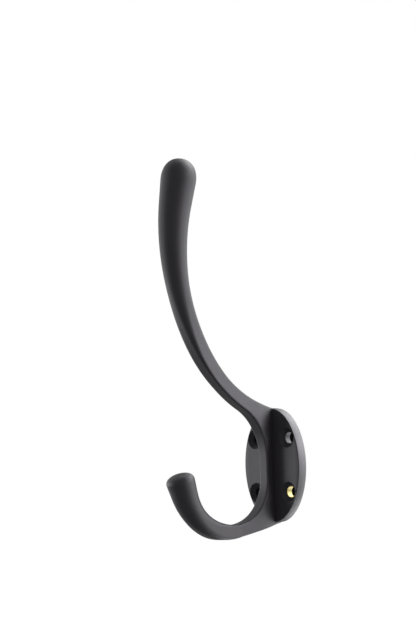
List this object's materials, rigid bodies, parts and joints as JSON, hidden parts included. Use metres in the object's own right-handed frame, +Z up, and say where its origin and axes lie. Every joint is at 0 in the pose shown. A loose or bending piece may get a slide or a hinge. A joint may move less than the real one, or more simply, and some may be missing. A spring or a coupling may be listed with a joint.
{
  "type": "double robe hook",
  "caption": "Robe hook with an oval countersunk wall plate, a tall swept arm that ends in a bulb and a short curled arm below it, coated satin black.",
  "frame": {"origin": "centre of the oval plate's flat back face, where it lies on the wall", "axes": "+X across the plate, +Y into the wall, +Z up along the tall arm; the arms reach out towards -Y"},
  "size_m": [0.0304, 0.0602, 0.1497],
  "materials": {
    "black_coat": "satin"
  },
  "bodies": {
    "root": {"hook_casting": "black_coat"}
  },
  "joints": []
}
